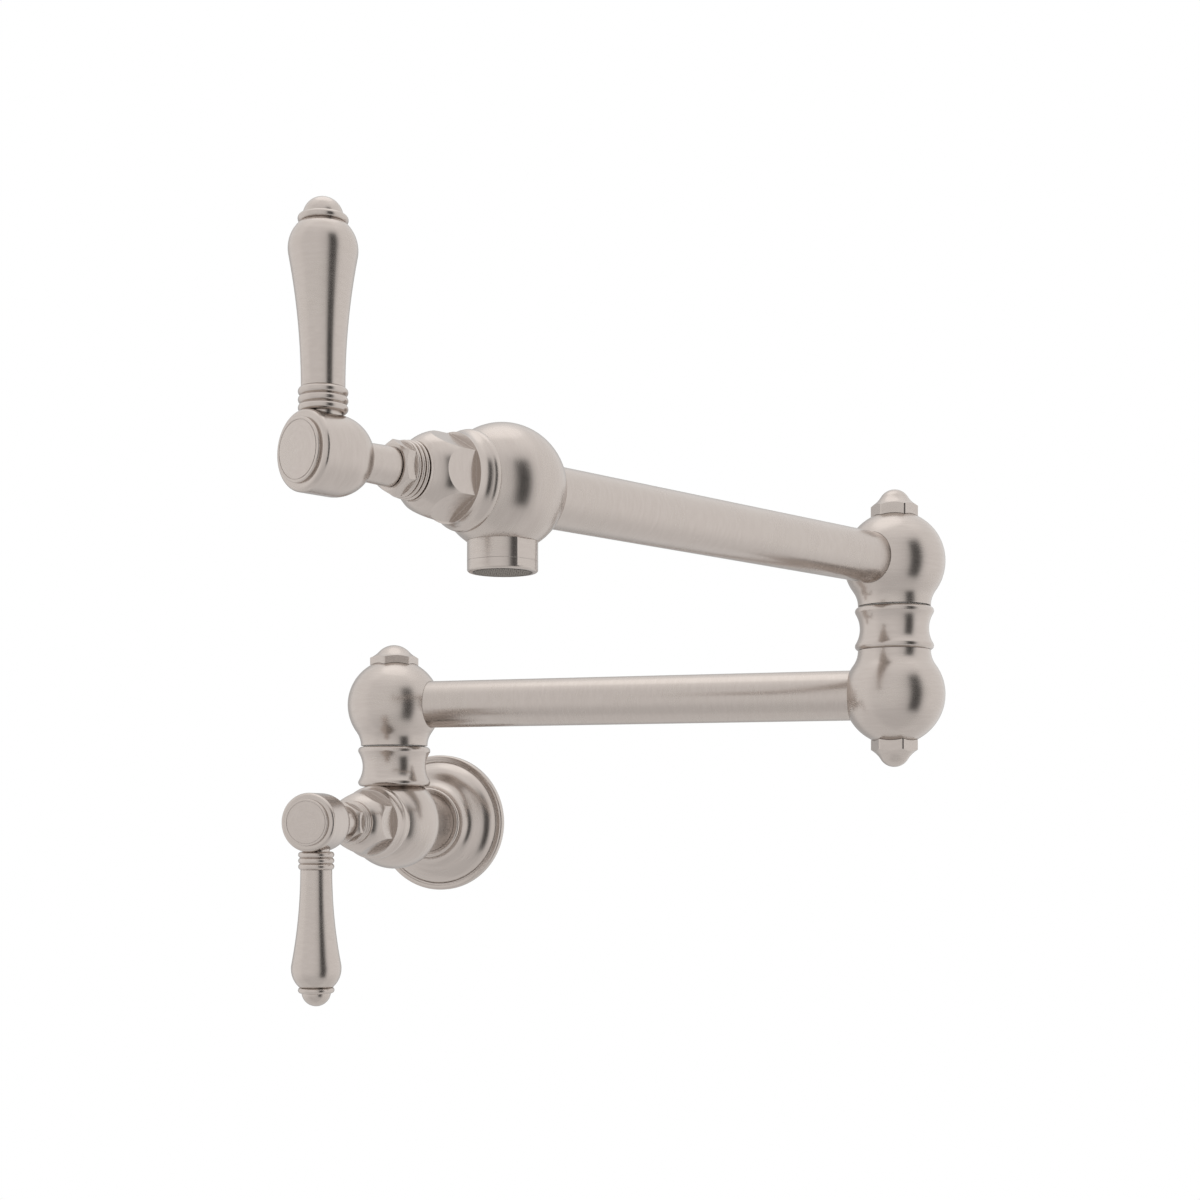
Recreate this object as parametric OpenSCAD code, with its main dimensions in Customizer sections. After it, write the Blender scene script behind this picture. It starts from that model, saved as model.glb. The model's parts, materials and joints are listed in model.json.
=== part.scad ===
// Wall-mounted pot filler: a double-jointed swing-arm tap with one lever valve at the wall
// and a second lever valve over the nozzle.
// Origin: the centre of the water inlet on the wall plane. The wall is the plane y = 0 and
// the tap stands out towards -y. +x runs along the lower arm and +z is up. Millimetres.

/* [Reach] */
// From the wall to the swivel axis over the wall valve
wall_reach = 66.5; // [64:0.5:90]
// Length of each arm, from swivel axis to swivel axis
arm_len = 270; // [150:5:350]
// Angle between the two arms as the tap stands, seen from above
fold_angle = 64.4; // [0:0.1:180]

/* [Balls and tubes] */
// Diameter of every hollow ball
ball_d = 50; // [48:0.5:56]
// Outside diameter of the arm tubes
tube_d = 25; // [20:0.5:27]
// Wall of the arm tubes
tube_wall = 1.5; // [1:0.1:3]
// How far a tube reaches towards the centre of its ball
tube_end = 16; // [15:0.5:19]
// Diameter at the end of a ball's turned neck
neck_d = 35.8; // [33:0.2:38]
// From a ball's centre to the end of its neck
neck_len = 22; // [21:0.5:26]
// Radius of the water chamber inside a ball
chamber_r = 12.6; // [12:0.1:13]
// How far the chamber reaches above and below a ball's centre
chamber_half = 8; // [6:0.5:9]

/* [Swivels] */
// Height of the turned collar between two balls
spool_h = 21.4; // [18:0.2:30]
// Diameter over the collar's lips
spool_lip_d = 38.8; // [38:0.1:42]
// Diameter of the collar's waist
spool_waist_d = 34; // [30:0.1:35]
// Radius of the hollow of the collar's waist
spool_waist_sweep = 14.5; // [14:0.1:20]
// Height of the flat on the wall valve where the collar stands
spool_seat_h = 19.5; // [19:0.1:21]
// Open joint between a collar and the ball that turns on it
seam = 0.6; // [0.4:0.1:1.2]
// Diameter of the swivel post
post_d = 16; // [14:0.2:17]
// Bore of the swivel post
post_bore_d = 10; // [6:0.2:10]
// Diameter of the four water ports near the post's closed end
post_port_d = 5; // [3:0.2:6]
// Radial play of a post or spindle in its bearing
running_play = 0.05; // [0.02:0.01:0.08]
// Thickness of the thrust washer in the open joint
washer_t = 0.5; // [0.3:0.05:0.55]
// Diameter of the thrust washer
washer_d = 33; // [20:0.5:34]
// Thickness of the retaining clip in the post's groove
clip_t = 1.2; // [0.8:0.1:1.6]
// Diameter of the retaining clip
clip_d = 19; // [18:0.2:20]
// Length of the post's thread in the wall valve
wall_thread_len = 6.5; // [5:0.1:6.8]
// Length of the post's thread in the lower arm's ball
elbow_thread_len = 10; // [6:0.5:13]

/* [Cap nuts] */
// Width across flats of the two nuts on the elbow
elbow_nut_af = 20.5; // [19:0.1:22]
// Height of the elbow nuts' corners over the ball
elbow_nut_h = 2.4; // [1.5:0.1:3]
// Height of the elbow nuts' domes over the ball
elbow_nut_top = 10.9; // [9:0.1:15]
// Radius of the elbow nuts' domes
elbow_nut_dome = 7.8; // [7:0.1:8.5]
// Width across flats of the nut over the wall valve
column_nut_af = 23; // [22:0.1:24]
// Height of the column nut's corners over the ball
column_nut_h = 0.5; // [0:0.1:1]
// Height of the column nut's dome over the ball
column_nut_top = 7.5; // [6:0.1:7.8]
// Radius of the column nut's dome
column_nut_dome = 11; // [10:0.1:12]
// Radius of the hollow between a nut's corners and its dome
nut_cove = 14; // [12:0.5:20]
// How much the turned blank takes off each of a nut's corners
nut_corner_cut = 0.25; // [0.1:0.05:0.5]
// Clocking of the nut on top of the elbow
knuckle_nut_turn = 3.5; // [-30:0.5:30]
// Clocking of the nut under the elbow
elbow_nut_turn = -0.7; // [-30:0.1:30]
// Clocking of the nut over the wall valve
column_nut_turn = 29.7; // [0:0.1:60]
// Diameter of the nuts' threaded shanks
nut_shank_d = 16; // [12:0.5:17]
// How deep a nut's shank reaches into its ball
nut_shank_end = 12; // [9:0.5:14]

/* [Wall fitting] */
// Diameter of the wall flange
flange_d = 77.4; // [74:0.2:90]
// Thickness of the flange's outer rim
flange_rim_t = 3.8; // [3:0.1:5]
// Width of the flat rim outside the groove
flange_rim_w = 3.2; // [2:0.1:5]
// Width and depth of the groove inside the rim
flange_groove = 0.7; // [0.4:0.1:1]
// Radius where the flange's dome turns into its sweep
flange_turn_r = 26; // [25:0.5:28]
// Height of that turn over the wall
flange_turn_h = 11.4; // [10:0.2:13]
// Slope of the flange's surface at that turn, in degrees
flange_turn_slope = 14; // [5:1:20]
// Radius of the flange's dome
flange_dome_r = 13.6; // [12:0.1:15]
// Radius of the sweep up to the flange's collar
flange_sweep_r = 8.2; // [7:0.1:9]
// Radius of the bead round the flange's hole
flange_bead_r = 1.5; // [1:0.1:2]
// Height of the flange's collar over the wall
flange_h = 22; // [20:0.2:24]
// Wall of the flange's shell
flange_wall = 2; // [1:0.1:2.5]
// Diameter of the inlet shank
shank_d = 33; // [31:0.2:34]
// Bore of the inlet shank
shank_bore_d = 13; // [8:0.5:16]
// Minor diameter of the female half-inch inlet thread
inlet_d = 18.6; // [15:0.1:22]
// Depth of the inlet thread
inlet_depth = 15; // [12:0.5:20]
// Diameter of the shank's tail in the valve body
shank_tail_d = 24; // [20:0.5:26]
// From the globe's centre to the shank's shoulder
shank_seat = 18.5; // [18:0.1:19]
// From the globe's centre to the end of the shank's tail
shank_tail_end = 11.5; // [11:0.5:14]

/* [Valve bonnets] */
// From the spout ball's centre to the bonnet's seat
bonnet_seat = 19.25; // [18:0.05:22]
// How much further out the wall valve carries its bonnet
wall_boss_extra = 6.7; // [0:0.1:12]
// Diameter over the bonnet's rim
bonnet_rim_d = 38.8; // [38:0.1:42]
// Radius of the rim's eased edge at the ball
bonnet_rim_r = 0.4; // [0.2:0.05:0.5]
// How far the rim stands out past the boss that carries it
bonnet_step = 2.9; // [2.4:0.1:3.4]
// Radius of the fillet between that boss and its ball
boss_fillet = 2.5; // [1.5:0.1:4]
// Thickness of the rim's straight edge
bonnet_rim_t = 0.6; // [0.6:0.1:1.2]
// Width across the bonnet's flats
bonnet_af = 29; // [26:0.1:30]
// Length of the bonnet's collar, from its seat to the flats
bonnet_collar_len = 8.35; // [7:0.05:11]
// Diameter of the collar at the flats
bonnet_collar_d = 34.4; // [33.6:0.1:35]
// Radius of the collar's swelling in front of the rim
bonnet_collar_sweep = 3.6; // [3:0.1:4.2]
// Radius of the hollow between that swelling and the flats
bonnet_collar_cove = 6.6; // [5:0.1:7]
// Radius of the bonnet's dome
bonnet_dome_r = 16.75; // [16.5:0.05:17.2]
// From the bonnet's seat to the centre of its dome
bonnet_dome_at = 13.75; // [12:0.05:15]
// Diameter of the bonnet's front lip
bonnet_lip_d = 22.4; // [21:0.1:24]
// From the bonnet's seat to its front face
bonnet_len = 27.35; // [26:0.05:30]
// Diameter of the bonnet's threaded skirt
bonnet_skirt_d = 29.2; // [28:0.1:30]
// Length of the bonnet's threaded skirt
bonnet_skirt_len = 8; // [6:0.5:9]
// Diameter of the bonnet's neck under the packing nut
bonnet_neck_d = 15.2; // [14:0.1:16]
// Length of that neck
bonnet_neck_len = 5.9; // [4:0.1:6.5]

/* [Packing nuts] */
// Width across the packing nut's flats
packing_af = 18; // [17:0.1:20]
// From the bonnet's face to the packing nut's flats
packing_base_len = 5.6; // [5:0.1:7]
// Length of the packing nut's flats
packing_hex_len = 4; // [3:0.1:6]
// Length of the cone in front of the flats
packing_cone_len = 0.7; // [0.4:0.1:1.5]
// Diameter at the small end of that cone
packing_cone_d = 17; // [16:0.1:18]
// Diameter over the bead next to the bonnet
packing_bead_d = 22.2; // [21:0.1:23]
// How much smaller each further bead is in diameter
packing_bead_step = 0.5; // [0:0.1:1]
// Radius of the packing nut's beads
packing_bead_r = 0.8; // [0.6:0.05:1]
// Number of beads
packing_beads = 3; // [2:1:3]

/* [Cartridges] */
// Outside diameter of the ceramic cartridge
cartridge_d = 20; // [19:0.1:21]
// Diameter of the ceramic discs
disc_d = 16; // [15:0.1:16.5]
// Thickness of each ceramic disc
disc_t = 3; // [2:0.1:3.5]
// Radius of the hub between a disc's two openings
disc_hub_r = 3; // [2.5:0.1:4]
// Radius to the outside of a disc's openings
disc_port_r = 7; // [6:0.1:7.2]
// Angle of each opening in a disc
disc_port_angle = 76; // [40:1:84]
// From the spout ball's centre back to the cartridge's seat
seat_back = 3.45; // [3:0.05:5]
// Thickness of the rubber seat seal
seal_t = 1.9; // [1:0.1:2.5]
// Bore of the water port through the seat
seat_port_d = 9.6; // [6:0.2:10]
// From the seat to the far end of the cartridge
cartridge_len = 41.5; // [38:0.5:42]
// Diameter of the spindle
spindle_d = 10; // [9:0.1:10.5]
// Side of the square end of the spindle
spindle_square = 6.4; // [5:0.1:6.8]

/* [Handle hubs] */
// From the bonnet's seat to the lever's axis
lever_at = 68.25; // [66:0.05:75]
// Diameter of the handle hub
hub_d = 29; // [27:0.1:32]
// From the lever's axis back to the centre of the hub's round end
hub_dome_back = 4.5; // [4:0.1:6]
// From the lever's axis to the hub's front face
hub_front = 10; // [9.5:0.1:12]
// Radius of the hub's front edge
hub_edge_r = 2; // [1:0.1:3]
// Diameter of the screw chamber behind the cap
hub_chamber_d = 19; // [16:0.5:20]
// Depth of that chamber
hub_chamber_depth = 5.4; // [5:0.1:5.4]
// Diameter of the sleeve where it meets the packing nut
sleeve_d = 14.8; // [14:0.1:16]
// Diameter of the sleeve where it enters the hub
sleeve_small_d = 14; // [13.5:0.1:14.8]
// How deep the sleeve and the hub's bore overlap
sleeve_overlap = 3.4; // [2:0.1:4]
// Diameter of the cap on the hub's face
cap_d = 23; // [21:0.1:25]
// Thickness of the cap's rim
cap_rim_t = 1.3; // [1:0.1:2]
// Radius of the cap's outer edge
cap_edge_r = 0.6; // [0.3:0.05:0.6]
// Diameter of the fine ring on the cap
cap_ring_d = 21; // [16:0.1:21]
// Crown of the cap's face over its rim
cap_crown = 0.5; // [0.2:0.1:1]
// Diameter of the handle screw
screw_d = 4; // [3:0.1:5]
// Diameter of the handle screw's head
screw_head_d = 8; // [7:0.1:10]
// Height of the handle screw's head
screw_head_h = 2.4; // [2:0.1:2.8]

/* [Levers] */
// Diameter of the lever's threaded rod
rod_d = 7.8; // [6:0.1:8]
// Diameter of the ferrule's neck at the hub
ferrule_neck_d = 13.2; // [12:0.1:14]
// Diameter over the ferrule's three beads
ferrule_d = 17.6; // [16:0.1:20]
// Radius of each bead
ferrule_bead_r = 1.6; // [1.5:0.05:1.9]
// Spacing of the beads
ferrule_pitch = 2.9; // [2.5:0.05:3.1]
// From the lever's root to the middle of the first bead
ferrule_first = 15.9; // [15.5:0.1:18]
// Number of beads
ferrule_beads = 3; // [2:1:4]
// Diameter of the grip next to the ferrule
grip_d = 15.5; // [14:0.1:17]
// Radius of the grip's long hollow sweep
grip_sweep = 250; // [180:5:400]
// Diameter of the grip's swelling
grip_max_d = 24.6; // [22:0.1:28]
// Diameter of the grip where the finial sits
grip_end_d = 16.6; // [15.5:0.1:18]
// Diameter over the finial's ring
finial_ring_d = 17.8; // [16.5:0.1:20]
// Radius of the finial's ring section
finial_bead_r = 1.5; // [1:0.1:1.6]
// Radius of the finial's dome
finial_dome_r = 7.2; // [6.5:0.1:7.2]

/* [Nozzle] */
// Diameter of the nozzle and the aerator housing
nozzle_d = 27.5; // [26:0.1:29]
// From the underside of the spout's ball down to the joint with the housing
nozzle_joint = 3.5; // [2:0.1:5]
// From the underside of the spout's ball down to the nozzle's mouth
nozzle_mouth = 7.8; // [7:0.1:8.3]
// Distance between the wrench flats
nozzle_af = 25.9; // [25.4:0.1:27]
// Width of the round lip under the flats
nozzle_lip = 1.2; // [1:0.1:1.6]
// Diameter of the nozzle's mouth
mouth_d = 23.2; // [21:0.1:23.4]
// Bore of the nozzle
nozzle_bore_d = 15; // [10:0.5:16]
// Diameter of the nozzle's threaded tail in the ball
nozzle_tail_d = 19.5; // [18:0.5:20]
// From the spout ball's centre down to the top of that tail
nozzle_tail_top = 14; // [13.5:0.1:16]
// From the joint with the housing up to the shoulder over the aerator
nozzle_shoulder = 6; // [5:0.1:6.5]
// Thickness of the aerator's gasket
gasket_t = 1.8; // [1:0.1:2]
// Height of the aerator insert
insert_h = 7.6; // [6:0.1:7.8]
// How far the insert sits back from the mouth
insert_recess = 0.6; // [0.3:0.1:1]
// Diameter of each water channel in the insert
channel_d = 1.7; // [1:0.1:1.8]
// Spacing of the water channels
channel_pitch = 2.4; // [2.2:0.1:3]
// Rings of water channels round the middle one
channel_rings = 4; // [2:1:4]

/* [Hidden] */
$fn = 96;

// Finishes
nickel = "#bdb4ae";
brass = "#c9a15a";
rubber = "#2b2b2b";
ptfe = "#e8e6e0";
ceramic = "#f2f0ea";
steel = "#9a9da1";
plastic = "#6d6762";

// Clearances and overruns
fit = 0.05;
play = 0.1;
over = 1;
// Two rounds that blend reach this far into each other
blend_overlap = 0.004;

// Ball and swivel values
ball_r = ball_d / 2;
tube_r = tube_d / 2;
neck_r = neck_d / 2;
post_r = post_d / 2;
lower_z = spool_seat_h + spool_h + seam + neck_len;
upper_z = lower_z + neck_len + spool_h + seam + neck_len;
heading = fold_angle - 180;
tube_bore_r = tube_r - tube_wall;
socket_port_r = tube_bore_r - over;
post_top = over;
post_cap_t = 3;
clip_groove_r = post_r - clip_t / 2;
clip_gap_angle = 30;
seal_depth = 1.3;
seal_r = (seal_depth + running_play) / 2;
seal_spacing = 4.5;
seal_inset = 4;

// Nut values
corner_share = 1 / cos(30);
nut_seat_gap = play;

// Valve axis values, measured along the axis from the ball's centre
rim_r = bonnet_rim_d / 2;
boss_r = rim_r - bonnet_step;
skirt_r = bonnet_skirt_d / 2;
bonnet_face = bonnet_seat + bonnet_len;
neck_top = bonnet_face + bonnet_neck_len;
packing_hex_at = bonnet_face + packing_base_len;
packing_front = packing_hex_at + packing_hex_len + packing_cone_len;
packing_wall_t = 2;
seat_at = -seat_back;
fixed_disc_at = seat_at + seal_t + fit;
moving_disc_at = fixed_disc_at + disc_t + fit;
spindle_foot = moving_disc_at + disc_t + fit;
cartridge_end = seat_at + cartridge_len;
cartridge_foot = seat_at + seal_t * 3 / 4;
window_w = 6;
window_h = 3.6;
tang_t = 3;
tang_depth = 1.2;
lever_s = bonnet_seat + lever_at;
hub_r = hub_d / 2;
dome_s = lever_s - hub_dome_back;
front_s = lever_s + hub_front;
sleeve_back = packing_front + 3 * play;
hub_mouth_s = dome_s - sqrt(pow(hub_r, 2) - pow(sleeve_small_d / 2, 2));
sleeve_front = hub_mouth_s + sleeve_overlap;
chamber_s = front_s - hub_chamber_depth;
spindle_end = chamber_s - play;
screw_len = 10;
cap_plug_depth = 2.4;
ring_groove = 0.25;
stem_clear_r = spindle_d / 2 + 8 * play;

// Lever values, measured along the lever from the valve's axis
rod_root = 6.4;
ferrule_end = ferrule_first + (ferrule_beads - 1) * ferrule_pitch + ferrule_bead_r - play;
sweep_centre_r = grip_d / 2 + grip_sweep;
bulb_r = grip_max_d / 2;
bulb_at = ferrule_end
    + sqrt(pow(grip_sweep + bulb_r - blend_overlap, 2) - pow(sweep_centre_r, 2));
grip_end = bulb_at + sqrt(pow(bulb_r, 2) - pow(grip_end_d / 2, 2));
finial_ring_at = grip_end + finial_bead_r;
finial_dome_at = finial_ring_at + finial_bead_r / 2;
rod_end = finial_dome_at + finial_dome_r / 2;

// Wall fitting values
flange_r = flange_d / 2;
shank_r = shank_d / 2;
wall_chamber_back = 7;
spout_chamber_back = 9;
seat_boss_r = 7.4;

// Nozzle values
nozzle_r = nozzle_d / 2;
joint_at = ball_r + nozzle_joint;
mouth_at = ball_r + nozzle_mouth;
shoulder_at = joint_at - nozzle_shoulder;
spigot_len = 2;
spigot_r = 12.45;
insert_bottom = mouth_at - insert_recess;

// Radius of the cove that leads a ball of radius R into a neck of radius r at height h
function cove(R, r, h) =
    let (near = R - blend_overlap) (r * r + h * h - near * near) / (2 * (near - r));

// Radius of the lips that meet a collar's waist and its end faces without a step
function lip_radius(waist, sweep, lip, h) =
    let (a = waist + sweep - lip, b = 2 * a - h - 2 * sweep, c = a * a + h * h / 4 - sweep * sweep)
    (-b - sqrt(b * b - 4 * c)) / 2;

// Centre of a hollow of radius c that starts at corner p and meets a dome of radius d at q
function hollow_centre(p, q, d, c) =
    let (v = p - q, m = norm(v), k = d + c, turn = acos((k * k + m * m - c * c) / (2 * m * k)))
    let (a = atan2(v[1], v[0]) + turn) q + k * [cos(a), sin(a)];

// Frames: the wall valve's globe, the two swivels on the lower arm and the upper arm
module at_globe() translate([0, -wall_reach, 0]) children();
module at_column() at_globe() translate([0, 0, lower_z]) children();
module at_elbow() at_column() translate([arm_len, 0, 0]) children();
module at_knuckle() at_globe() translate([arm_len, 0, upper_z]) rotate([0, 0, heading]) children();
module at_spout() at_knuckle() translate([arm_len, 0, 0]) children();

// Valve frames: +z runs out along the valve's axis and +y is up
module wall_axis() at_globe() rotate([90, 0, 0]) translate([0, 0, wall_boss_extra]) children();
module spout_axis() at_spout() rotate([90, 0, 90]) children();

// Lever frames: +z runs out along the lever, and the valve's axis runs along x
module wall_lever_frame() wall_axis() translate([0, 0, lever_s]) rotate([90, 0, 0]) children();
module spout_lever_frame() spout_axis() translate([0, 0, lever_s]) rotate([-90, 0, 0]) children();

// Half outline of a ball whose neck points along +y
module ball_outline(r, h) {
    c = cove(ball_r, r, h);
    intersection() {
        translate([0, -ball_r]) square([ball_r, ball_r + h]);
        union() {
            circle(ball_r);
            difference() {
                polygon([[0, 0], [r + c, h], [0, h]]);
                translate([r + c, h]) circle(c);
            }
        }
    }
}

// Ball with a turned neck, a round chamber, a bearing bore in the neck, a threaded hole for
// its cap nut and a socket for the arm tube along +x
module swivel_ball(neck_bore_r) {
    difference() {
        rotate([180, 0, 0]) rotate_extrude() ball_outline(neck_r, neck_len);
        translate([0, 0, -chamber_half]) cylinder(h = 2 * chamber_half, r = chamber_r);
        translate([0, 0, -neck_len - over]) cylinder(h = neck_len, r = neck_bore_r);
        cylinder(h = ball_d, r = nut_shank_d / 2 + fit);
        rotate([0, 90, 0]) cylinder(h = ball_d, r = socket_port_r);
        translate([tube_end - play, 0, 0]) rotate([0, 90, 0]) cylinder(h = ball_d, r = tube_r + fit);
    }
}

// Hollow arm tube along +x between the sockets of two balls
module arm_tube() {
    translate([tube_end, 0, 0]) rotate([0, 90, 0]) difference() {
        cylinder(h = arm_len - 2 * tube_end, r = tube_r);
        translate([0, 0, -over]) cylinder(h = arm_len, r = tube_bore_r);
    }
}

// Turned collar with two rounded lips, standing on z = 0
module spool() {
    half = spool_h / 2;
    waist_r = spool_waist_d / 2;
    lip_r = spool_lip_d / 2;
    bead = lip_radius(waist_r, spool_waist_sweep, lip_r, spool_h);
    bead_at = [lip_r - bead, half - bead];
    hollow_at = waist_r + spool_waist_sweep;
    bore_r = post_r + play;
    translate([0, 0, half]) rotate_extrude() {
        difference() {
            polygon([
                [bore_r, -half], [bead_at[0], -half], [bead_at[0], -bead_at[1]], [hollow_at, 0],
                bead_at, [bead_at[0], half], [bore_r, half]
            ]);
            translate([hollow_at, 0]) circle(spool_waist_sweep);
        }
        for (side = [-1, 1]) translate([bead_at[0], side * bead_at[1]]) circle(bead);
    }
}

// Heights on a swivel post over the foot of its collar
function post_ledge() = spool_h + seam + neck_len - chamber_half;
function post_seal_h(i) = spool_h + seam + seal_inset + i * seal_spacing;
function clip_h() = post_ledge() + play;

// Hollow swivel post: thread below the collar, two seal grooves, a clip groove, a closed top
// and four ports that let the water out into the chamber of the turning ball
module swivel_post(thread_len) {
    top = spool_h + seam + neck_len + post_port_d / 2 + post_cap_t;
    difference() {
        translate([0, 0, -thread_len]) cylinder(h = thread_len + top, r = post_r);
        translate([0, 0, -thread_len - over])
            cylinder(h = thread_len + top - post_cap_t + over, r = post_bore_d / 2);
        for (i = [0, 1]) translate([0, 0, post_seal_h(i)]) difference() {
            cylinder(h = 2 * seal_r, r = post_r + over);
            translate([0, 0, -over]) cylinder(h = 2 * (seal_r + over), r = post_r - seal_depth);
        }
        translate([0, 0, clip_h()]) difference() {
            cylinder(h = clip_t + play, r = post_r + over);
            translate([0, 0, -over]) cylinder(h = clip_t + 2 * over, r = clip_groove_r);
        }
        for (turn = [0, 90]) translate([0, 0, top - post_cap_t - post_port_d / 2])
            rotate([90, 0, turn + 45])
                cylinder(h = post_d + over, r = post_port_d / 2, center = true);
    }
}

// The two rings that seal a swivel post in its bearing
module post_seals() {
    for (i = [0, 1]) translate([0, 0, post_seal_h(i) + seal_r])
        rotate_extrude() translate([post_r - seal_depth + seal_r, 0]) circle(seal_r - fit / 2);
}

// Low-friction washer in the open joint on top of a collar
module thrust_washer() {
    translate([0, 0, spool_h]) difference() {
        cylinder(h = washer_t, d = washer_d);
        translate([0, 0, -over]) cylinder(h = washer_t + 2 * over, r = post_r + play);
    }
}

// Open ring in the post's groove that holds the turning ball down
module swivel_clip() {
    translate([0, 0, clip_h() + play / 2]) difference() {
        cylinder(h = clip_t, d = clip_d);
        translate([0, 0, -over]) cylinder(h = clip_t + 2 * over, r = clip_groove_r + fit);
        translate([0, 0, -over]) linear_extrude(clip_t + 2 * over)
            polygon([[0, 0], [clip_d, -clip_d * tan(clip_gap_angle / 2)],
                [clip_d, clip_d * tan(clip_gap_angle / 2)]]);
    }
}

// Domed hexagonal cap nut over a ball's centre, hollowed underneath to the ball's round
module cap_nut(af, corner_h, top, dome_r) {
    corner = [af / 2 * corner_share - nut_corner_cut, corner_h];
    dome_at = [0, top - dome_r];
    hollow_at = hollow_centre(corner, dome_at, dome_r, nut_cove);
    difference() {
        intersection() {
            cylinder(h = top + over, r = af / 2 * corner_share, $fn = 6);
            rotate_extrude() intersection() {
                square([hollow_at[0], top]);
                union() {
                    translate(dome_at) circle(dome_r);
                    difference() {
                        polygon([
                            [0, 0], [corner[0], 0], [corner[0], corner_h + over], hollow_at,
                            dome_at
                        ]);
                        translate(hollow_at) circle(nut_cove);
                    }
                }
            }
        }
        sphere(ball_r + nut_seat_gap);
    }
    translate([0, 0, ball_r - nut_shank_end])
        cylinder(h = corner_h - ball_r + nut_shank_end, d = nut_shank_d);
}

// Outline of the wall flange's section, or of its inside when inset by the shell's wall
module flange_outline(inset) {
    turn = [flange_turn_r, flange_turn_h];
    lean = [sin(flange_turn_slope), cos(flange_turn_slope)];
    dome_at = turn - flange_dome_r * lean;
    sweep_at = turn + flange_sweep_r * lean;
    groove_r = flange_r - flange_rim_w;
    collar_r = sweep_at[0] - flange_sweep_r;
    intersection() {
        translate([dome_at[0], dome_at[1]]) circle(flange_dome_r - inset);
        polygon([dome_at, turn, [flange_r, turn[1]], [flange_r, 0], [dome_at[0], 0]]);
    }
    difference() {
        polygon([
            [0, 0], [dome_at[0], 0], dome_at, sweep_at,
            [collar_r - inset, sweep_at[1]], [0, sweep_at[1]]
        ]);
        translate(sweep_at) circle(flange_sweep_r + inset);
    }
    square([groove_r - inset, flange_rim_t - inset]);
}

// Bell-shaped flange against the wall: a rounded rim, a groove, a domed shoulder, a sweep up
// to the collar and a bead round the hole, hollow behind
module wall_flange() color(nickel) rotate([90, 0, 0]) rotate_extrude() {
    hole_r = shank_r + play;
    rim_in = flange_r - flange_rim_w;
    bead_at = hole_r + flange_bead_r;
    difference() {
        union() {
            flange_outline(0);
            square([flange_r, flange_rim_t - flange_bead_r]);
            square([flange_r - flange_bead_r, flange_rim_t]);
            translate([flange_r - flange_bead_r, flange_rim_t - flange_bead_r])
                circle(flange_bead_r);
            square([bead_at, flange_h]);
            translate([bead_at, flange_h - flange_bead_r]) circle(flange_bead_r);
            square([bead_at + flange_bead_r / 2, flange_h - flange_bead_r]);
        }
        translate([rim_in, flange_rim_t - flange_groove])
            square([flange_groove, flange_groove + over]);
        difference() {
            flange_outline(flange_wall);
            square([bead_at + flange_bead_r, flange_h]);
        }
        square([hole_r, flange_h + over]);
        translate([0, flange_h]) square([flange_r, flange_h]);
    }
}

// Supply shank from the wall to the globe, with the female inlet thread in its wall end
module inlet_shank() color(nickel) rotate([90, 0, 0]) difference() {
    union() {
        cylinder(h = wall_reach - shank_seat, r = shank_r);
        cylinder(h = wall_reach - shank_tail_end, r = shank_tail_d / 2);
    }
    translate([0, 0, -over]) cylinder(h = wall_reach, d = shank_bore_d);
    translate([0, 0, -over]) cylinder(h = inlet_depth + over, d = inlet_d);
}

// Half outline of a valve's ball with the boss that carries its bonnet, up to the seat
module valve_outline(seat) {
    near = ball_r + boss_fillet - blend_overlap;
    intersection() {
        translate([0, -ball_r]) square([ball_r, ball_r + seat]);
        union() {
            ball_outline(boss_r, sqrt(pow(near, 2) - pow(boss_r + boss_fillet, 2)));
            square([boss_r + blend_overlap, seat]);
        }
    }
}

// Water space inside a valve's ball: a chamber round a raised seat, the port through that
// seat and the threaded mouth for the bonnet. extra shifts the valve along its axis
module valve_cavity(extra, back) {
    difference() {
        translate([0, 0, -back]) cylinder(h = ball_d, r = chamber_r);
        translate([0, 0, -back - over])
            cylinder(h = back + over + seat_at + extra, r = seat_boss_r);
    }
    translate([0, 0, -back - over]) cylinder(h = back + 2 * over + extra, d = seat_port_d);
    translate([0, 0, bonnet_seat - bonnet_skirt_len - 3 * play + extra])
        cylinder(h = ball_d, r = skirt_r + fit);
}

// Globe of the wall valve
module wall_valve_body() color(nickel) at_globe() difference() {
    rotate([90, 0, 0]) rotate_extrude() valve_outline(bonnet_seat + wall_boss_extra);
    translate([0, 0, spool_seat_h]) cylinder(h = ball_r, r = spool_lip_d / 2 + 5 * play);
    cylinder(h = ball_d, r = post_r + fit);
    rotate([90, 0, 0]) valve_cavity(wall_boss_extra, wall_chamber_back);
    rotate([-90, 0, 0]) translate([0, 0, shank_seat]) cylinder(h = ball_r, r = ball_d);
    rotate([-90, 0, 0]) translate([0, 0, shank_tail_end - play])
        cylinder(h = ball_r, r = shank_tail_d / 2 + fit);
    rotate([-90, 0, 0]) cylinder(h = shank_seat, d = seat_port_d);
}

// Parts of the swivel over the wall valve
module wall_spool() color(nickel) at_globe() translate([0, 0, spool_seat_h]) spool();
module wall_swivel_post() color(brass) at_globe() translate([0, 0, spool_seat_h])
    swivel_post(wall_thread_len);
module wall_post_seals() color(rubber) at_globe() translate([0, 0, spool_seat_h]) post_seals();
module wall_thrust_washer() color(ptfe) at_globe() translate([0, 0, spool_seat_h])
    thrust_washer();
module wall_swivel_clip() color(steel) at_globe() translate([0, 0, spool_seat_h]) swivel_clip();

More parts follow.
